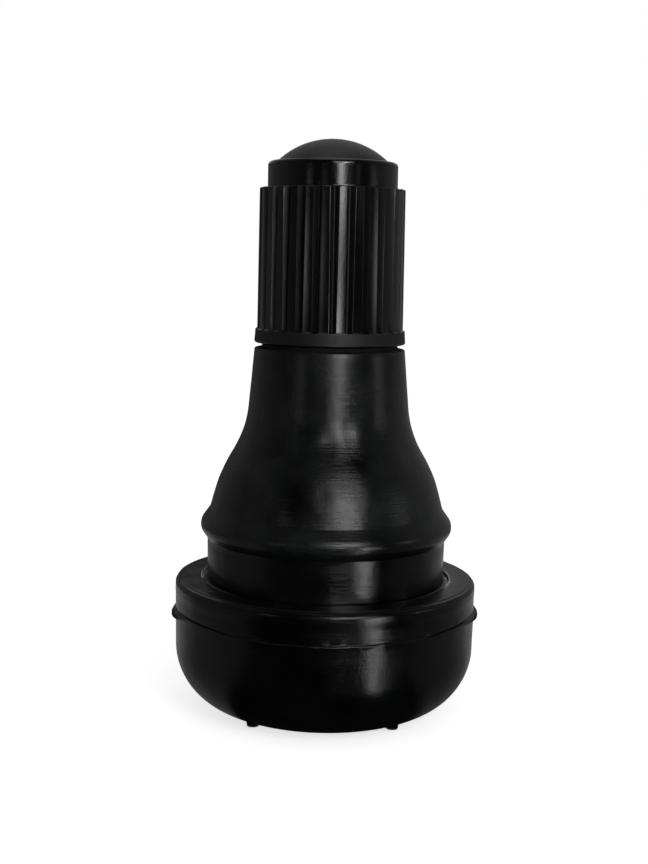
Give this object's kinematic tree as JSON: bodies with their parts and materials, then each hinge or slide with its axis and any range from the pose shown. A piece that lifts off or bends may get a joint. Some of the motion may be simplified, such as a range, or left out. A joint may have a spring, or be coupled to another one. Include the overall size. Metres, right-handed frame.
{
  "type": "snap-in rubber tyre valve",
  "caption": "Snap-in rubber tyre valve: base flange, rim groove, retaining bead, necked body on a brass stem with screw-in core, and a ribbed dust cap.",
  "frame": {"origin": "on the valve's axis, at the plane of the feet that it stands on", "axes": "+Z along the valve's axis, from the base towards the cap; X and Y across it, with the feet between them"},
  "size_m": [0.0222, 0.0222, 0.0409],
  "materials": {
    "moulded_rubber": "satin moulded black rubber",
    "turned_brass": "turned, bright",
    "cap_plastic": "glossy moulded black, satin on the dome",
    "seal_rubber": "matt black",
    "gasket_polymer": "smooth red sealing polymer",
    "spring_steel": "drawn wire"
  },
  "bodies": {
    "stem": {"rubber_body": "moulded_rubber", "brass_stem": "turned_brass"},
    "cap_ring": {"cap_seal": "seal_rubber"},
    "cap": {"valve_cap": "cap_plastic"},
    "core": {"core_barrel": "turned_brass", "barrel_gasket": "gasket_polymer", "core_spring": "spring_steel"},
    "plug": {"core_plug": "turned_brass"},
    "plunger": {"plunger_pin": "turned_brass", "plunger_cup": "turned_brass", "plunger_seal": "seal_rubber"}
  },
  "joints": [
    {"name": "cap_lift", "type": "slide", "parent": "stem", "child": "cap_ring", "axis": [0, 0, 1], "range_m": [0, 0.00873]},
    {"name": "cap_turn", "type": "hinge", "parent": "cap_ring", "child": "cap", "pos_m": [0, 0, 0.032], "axis": [0, 0, 1], "range_deg": [0, 3960]},
    {"name": "core_lift", "type": "slide", "parent": "stem", "child": "core", "axis": [0, 0, 1], "range_m": [0, 0.00141]},
    {"name": "core_turn", "type": "hinge", "parent": "core", "child": "plug", "pos_m": [0, 0, 0.034], "axis": [0, 0, 1], "range_deg": [0, 720]},
    {"name": "plunger_push", "type": "slide", "parent": "core", "child": "plunger", "axis": [0, 0, -1], "range_m": [0, 0.0015], "stiffness_N_per_m": 800, "deforming": ["core_spring"]}
  ],
  "couplings": [
    {"joint": "cap_turn", "follows": "cap_lift", "rad_per_m": 7915.8},
    {"joint": "core_turn", "follows": "core_lift", "rad_per_m": 8905.3}
  ]
}
